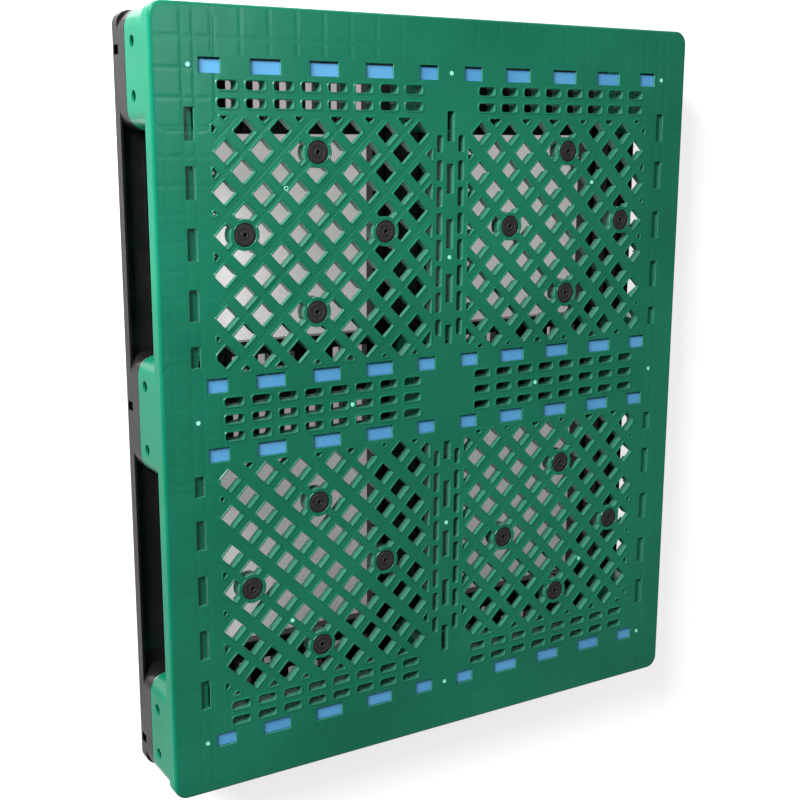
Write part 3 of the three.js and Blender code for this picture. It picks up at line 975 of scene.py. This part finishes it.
def upper_block(node, row, column, low, high):
    shell = Shell()
    tube_wall(shell, block_outline(low, high), SEAM_TOP, DECK_BOTTOM, round_low=SEAM_ROUND)
    piece = shell.build(node + "_shell", (GREEN,))
    if column == "centre":
        return piece
    side = -1 if column == "left" else 1
    face = DECK_LOW.x if side < 0 else DECK_HIGH.x
    spread = HAND_HOLE_SPREAD["middle" if row == "middle" else "end"]
    cutters = []
    for sign in SIDES:
        flare = HAND_HOLE_RADIUS + HAND_HOLE_FLARE
        depth = 3 * BLOCK_WALL
        profile = ((0, -depth), (HAND_HOLE_RADIUS, -depth), (HAND_HOLE_RADIUS, -HAND_HOLE_FLARE),
                   (flare, 0.01), (flare, 2), (0, 2))
        cutter = revolved("hand_hole", profile, GREEN, 32)
        place = Vector((face, (low.y + high.y) / 2 + sign * spread, HAND_HOLE_HEIGHT)) * MM
        turn = Matrix.Rotation(side * math.pi / 2, 4, "Y")
        cutter.data.transform(Matrix.Translation(place) @ turn)
        cutters.append(cutter)
    return cut(piece, cutters)


# ======== Bottom deck, built face up and turned over by its sign ========

def base_ribs():
    """Ribs inside the runners, as (start, end)."""
    half_x, half_y = (size / 2 - LIP_WALL + OVERLAP for size in BASE_SIZE[:2])
    near_x = BASE_WINDOW_X[0] - 2
    near_y, far_y = BASE_WINDOW_Y[0] - 2, BASE_WINDOW_Y[1] + 2
    ribs = []
    for side in SIDES:
        for y in BASE_MIDDLE_RIBS + BASE_END_RIBS:
            ribs.append(((-half_x, side * y), (half_x, side * y)))
        for x in BASE_LONG_RIBS:
            ribs.append(((side * x, -half_y), (side * x, half_y)))
        for index in range(BASE_SLOTS_PER_HALF + 1):
            x = side * (BASE_SLOT_CENTRE + (index - BASE_SLOTS_PER_HALF / 2) * BASE_SLOT_PITCH)
            ribs.append(((x, -near_y), (x, near_y)))
            for sign_y in SIDES:
                ribs.append(((x, sign_y * far_y), (x, sign_y * half_y)))
        for index in range(1, BASE_RIBS_BETWEEN_BLOCKS):
            y = near_y + (far_y - near_y) * index / BASE_RIBS_BETWEEN_BLOCKS
            for sign_y in SIDES:
                ribs.append(((0, sign_y * y), (side * near_x, sign_y * y)))
    return ribs


def bottom_deck():
    shell = Shell()
    shell.sign_z = -1
    outline = rounded(rectangle(0, 0, DECK_SIZE.x, BASE_SIZE.y), BASE_CORNER, CORNER_STEPS)
    rim = [(0, -BASE_THICKNESS), (-LIP_WALL, -BASE_THICKNESS), (-LIP_WALL, -BASE_SKIN)]
    outer_face, outer_inside = shell.profile(outline, rounding(BASE_EDGE_ROUND, 0, -1) + rim)
    faces, insides = [], []

    def add(loop, steps):
        face, inside = shell.profile(loop, steps)
        faces.append(face)
        insides.append(inside)

    (left, right), (near, far) = BASE_WINDOW_X, BASE_WINDOW_Y
    window = rounded(((left, near), (right, near), (right, far), (left, far)), BASE_WINDOW_CORNER, 6)
    window_rim = [(0, -BASE_THICKNESS), (LIP_WALL, -BASE_THICKNESS), (LIP_WALL, -BASE_SKIN)]
    collar = [(0, -BASE_COLLAR_DEPTH), (BASE_COLLAR_WALL, -BASE_COLLAR_DEPTH),
              (BASE_COLLAR_WALL, -BASE_SKIN)]
    for sign_x in SIDES:
        for sign_y in SIDES:
            add(mirrored(window, sign_x, sign_y), rounding(BASE_WINDOW_ROUND, 0) + window_rim)
        for y in BASE_SLOT_ROWS:
            for index in range(BASE_SLOTS_PER_HALF):
                x = BASE_SLOT_CENTRE + (index - (BASE_SLOTS_PER_HALF - 1) / 2) * BASE_SLOT_PITCH
                corners = rectangle(sign_x * x, y, BASE_SLOT_X, BASE_SLOT_Y)
                add(rounded(corners, BASE_SLOT_CORNER, 2), rounding(RIM_ROUND, 0) + collar)
    shell.cap(outer_face, faces)
    shell.cap(outer_inside, insides)
    pieces = [cut(shell.build("base_skin", (BLACK,)), side_notches())]
    shell = Shell()
    for start, end in base_ribs():
        shell.wall(start, end, RIB_WALL, BASE_SKIN - OVERLAP, BASE_RIB_TOP)
    pieces.append(shell.build("base_ribs", (BLACK,)))
    for _node, _row, column, low, high in block_places():
        shell = Shell()
        tube_wall(shell, block_outline(low, high), BASE_SKIN - OVERLAP, SEAM_BOTTOM,
                  round_high=SEAM_ROUND, foot=(HALF_BLOCK_FOOT, BASE_THICKNESS))
        piece = shell.build("half_block", (BLACK,))
        pieces.append(piece if column == "centre" else cut(piece, side_notches()))
    return joined("bottom_deck_moulding", pieces)


def side_notches():
    """Cutters for the notches low in the long sides."""
    cutters = []
    for side in SIDES:
        for y in NOTCH_ROWS:
            shell = Shell()
            loop = rectangle(side * DECK_SIZE.x / 2, y, 2 * NOTCH_DEPTH, NOTCH_WIDTH)
            shell.prism(rounded(loop, NOTCH_CORNER), NOTCH_BOTTOM, NOTCH_BOTTOM + NOTCH_HEIGHT)
            cutters.append(shell.build("notch", (BLACK,)))
    return cutters


def joined(name, pieces):
    """One object of several that share a material."""
    work = bmesh.new()
    for piece in pieces:
        work.from_mesh(piece.data)
    surface = pieces[0].data.materials[0]
    mesh = bpy.data.meshes.new(name)
    work.to_mesh(mesh)
    work.free()
    mesh.materials.append(surface)
    for piece in pieces:
        bpy.data.objects.remove(piece, do_unlink=True)
    return finished_object(name, mesh)


# ======== Tubes and plugs ========

def reinforcing_tube(node):
    low, high = (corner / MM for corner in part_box(node))
    size, middle = high - low, (low + high) / 2
    shell = Shell()
    section = rounded(rectangle(0, -TUBE_PLAY / 2, size.z, size.y - TUBE_PLAY), 2.5, 4)
    end, wall, break_edge = size.x / 2, TUBE_WALL, 0.3
    first, last = shell.profile(section, [
        (-break_edge, end), (0, end - break_edge), (0, break_edge - end), (-break_edge, -end),
        (break_edge - wall, -end), (-wall, break_edge - end), (-wall, end - break_edge),
        (break_edge - wall, end)])
    shell.strip(last, first)
    piece = shell.build(node + "_coated", (BLUE,))
    turn = Matrix.Rotation(math.pi / 2, 4, "Y")
    piece.data.transform(Matrix.Translation(middle * MM) @ turn)
    return piece


def anti_slip_plug(node):
    low, high = (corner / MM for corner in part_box(node))
    middle, top = (low + high) / 2, high.z
    radius = (high.x - low.x) / 2
    seat = DECK_TOP - SEAT_DEPTH + PLUG_PLAY
    stem, barb = BORE_RADIUS - STEM_PLAY, BORE_RADIUS + BARB_REACH
    barb_top = COLLAR_BOTTOM - PLUG_PLAY
    profile = [
        (0, top - 7), (2.9, top - 7), (3.2, top - 0.9), (3.7, top - 0.2), (5.3, top - 0.1),
        (6.0, top - 0.7), (8.0, top - 0.7), (8.8, top - 1.3), (9.4, top - 0.4), (13.9, top),
        (14.6, top - 0.2), (15.0, top - 1.5), (15.6, top - 1.5), (16.1, top - 0.9),
        (radius - 0.5, top - 1.0), (radius, top - 1.6), (radius, seat), (stem, seat),
        (stem, barb_top), (barb, barb_top),
        (barb, barb_top - 1), (stem - 1.5, low.z + 1), (stem - 2.5, low.z), (0, low.z)]
    piece = revolved(node + "_rubber", profile, RUBBER)
    piece.location = (middle.x * MM, middle.y * MM, 0)
    return piece


# ======== Studio ========

def aim(thing, target, up=Vector((0, 0, 1)), roll=0.0):
    """Turns a lamp or a camera at the target, with up towards the top of its view."""
    back = (thing.location - target).normalized()
    right = up.cross(back).normalized()
    turn = Matrix((right, back.cross(right), back)).transposed()
    thing.rotation_euler = (turn @ Matrix.Rotation(roll, 3, "Z")).to_euler()


def camera():
    lens = bpy.data.cameras.new("camera")
    lens.sensor_width, lens.lens = 36, CAMERA_LENS
    thing = bpy.data.objects.new("camera", lens)
    bpy.context.scene.collection.objects.link(thing)
    thing.location = CAMERA_PLACE
    aim(thing, CAMERA_TARGET, Vector((0, 1, 0)), CAMERA_ROLL)
    bpy.context.scene.camera = thing


def area_light(name, place, size, power, colour):
    lamp = bpy.data.lights.new(name, "AREA")
    lamp.shape, lamp.size, lamp.size_y = "RECTANGLE", *size
    lamp.energy, lamp.color = power, colour
    thing = bpy.data.objects.new(name, lamp)
    bpy.context.scene.collection.objects.link(thing)
    thing.location = place
    aim(thing, LIGHT_TARGET, Vector((0, 1, 0.01)))


def floor():
    mesh = bpy.data.meshes.new("floor")
    half = FLOOR_HALF
    corners = [(-half, -half, 0), (half, -half, 0), (half, half, 0), (-half, half, 0)]
    mesh.from_pydata(corners, [], [(0, 1, 2, 3)])
    mesh.materials.append(floor_surface())
    thing = bpy.data.objects.new("floor", mesh)
    bpy.context.scene.collection.objects.link(thing)
    thing.location.z = -FLOOR_DROP


def studio():
    world = bpy.data.worlds.new("studio")
    world.use_nodes = True
    background = world.node_tree.nodes["Background"]
    background.inputs["Color"].default_value = (1, 1, 1, 1)
    background.inputs["Strength"].default_value = WORLD_LIGHT
    bpy.context.scene.world = world
    bpy.context.scene.view_settings.view_transform = "Standard"
    for light in LIGHTS:
        area_light(*light)
    floor()


# ======== Assembly ========

camera()
studio()


def place(piece, slot, *nodes):
    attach(piece, "root")
    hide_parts(*nodes)


place(top_deck(), "green_plastic", "top_deck")
for block in block_places():
    place(upper_block(*block), "green_plastic", block[0])
place(bottom_deck(), "black_plastic", "bottom_deck")
for node in sorted(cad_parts):
    if node.startswith("reinforcing_tube"):
        place(reinforcing_tube(node), "blue_steel", node)
    elif node.startswith("anti_slip_plug"):
        place(anti_slip_plug(node), "black_rubber", node)
